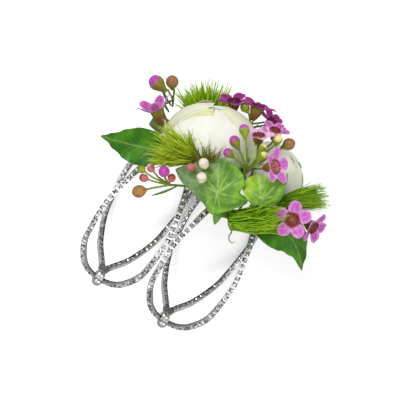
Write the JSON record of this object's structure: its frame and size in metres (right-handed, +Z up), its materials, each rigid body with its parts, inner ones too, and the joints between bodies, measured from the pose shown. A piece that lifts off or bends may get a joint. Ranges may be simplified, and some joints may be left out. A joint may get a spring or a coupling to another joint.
{
  "type": "corsage",
  "caption": "Wrist corsage: a spring cuff of two open rhinestone loops that carries a glued spray of white ranunculus, pink wax flower, green tufts and leaves.",
  "frame": {"origin": "middle of the bounding box, on the surface that the corsage stands on, under the back half of the cuff", "axes": "+X along the wearer's arm and the long way of the spray, +Y from the cuff's mouth to the flowers, +Z up from the back half of the cuff to the front half"},
  "size_m": [0.0886, 0.0958, 0.0738],
  "materials": {
    "silver": "bright silver plate with clear square rhinestones",
    "glue": "floral glue pad, dull green grey",
    "cream_petal": "soft matt white petal",
    "bloom_heart": "pale green tight petals",
    "salal_leaf": "deep green waxy leaf",
    "ivy_leaf": "mid green leaf with pale veins",
    "tuft": "bright green fine strands",
    "stem": "green stem",
    "sprig": "green stems with red and green buds",
    "pale_bud": "pale and red buds",
    "pink_petal": "pink petal",
    "magenta_petal": "dark magenta petal"
  },
  "bodies": {
    "back_half_and_spray": {"back_strand_left_loop_left": "silver", "back_strand_left_loop_right": "silver", "back_tip_left": "silver", "back_ball_left": "silver", "back_strand_right_loop_left": "silver", "back_strand_right_loop_right": "silver", "back_tip_right": "silver", "back_ball_right": "silver", "crown_bar": "silver", "glue_pad": "glue", "waxflower_sprig_upper_left": "sprig", "waxflower_sprig_left": "sprig", "waxflower_sprig_middle": "sprig", "waxflower_sprig_top_right": "sprig", "waxflower_sprig_right": "sprig", "blossom_upper_left": "pink_petal", "blossom_top_left": "magenta_petal", "blossom_top_middle": "magenta_petal", "blossom_top_right": "magenta_petal", "blossom_middle": "pink_petal", "blossom_middle_right": "pink_petal", "blossom_right": "pink_petal", "blossom_lower_right": "pink_petal", "blossom_far_right": "pink_petal", "pale_bud_sprig": "pale_bud", "ivy_leaf_centre": "ivy_leaf", "ivy_leaf_right": "ivy_leaf", "ivy_leaf_lower": "ivy_leaf", "salal_leaf_left": "salal_leaf", "salal_leaf_right": "salal_leaf", "salal_leaf_back_left": "salal_leaf", "salal_leaf_back_right": "salal_leaf", "main_bloom_outer_petals": "cream_petal", "main_bloom_middle_petals": "cream_petal", "main_bloom_inner_petals": "cream_petal", "main_bloom_heart": "bloom_heart", "second_bloom_outer_petals": "cream_petal", "second_bloom_inner_petals": "cream_petal", "second_bloom_heart": "bloom_heart", "main_bloom_calyx": "stem", "second_bloom_calyx": "stem", "green_tuft_left": "tuft", "green_tuft_front": "tuft", "green_tuft_right": "tuft", "green_tuft_top": "tuft"},
    "front_half": {"front_strand_left_loop_left": "silver", "front_strand_left_loop_right": "silver", "front_tip_left": "silver", "front_ball_left": "silver", "front_strand_right_loop_left": "silver", "front_strand_right_loop_right": "silver", "front_tip_right": "silver", "front_ball_right": "silver"}
  },
  "joints": [
    {"name": "cuff_flex", "type": "hinge", "parent": "back_half_and_spray", "child": "front_half", "pos_m": [-0.00171, 0.01613, 0.03516], "axis": [-1, 0, 0], "range_deg": [0, 12], "stiffness_Nm_per_rad": 1}
  ]
}
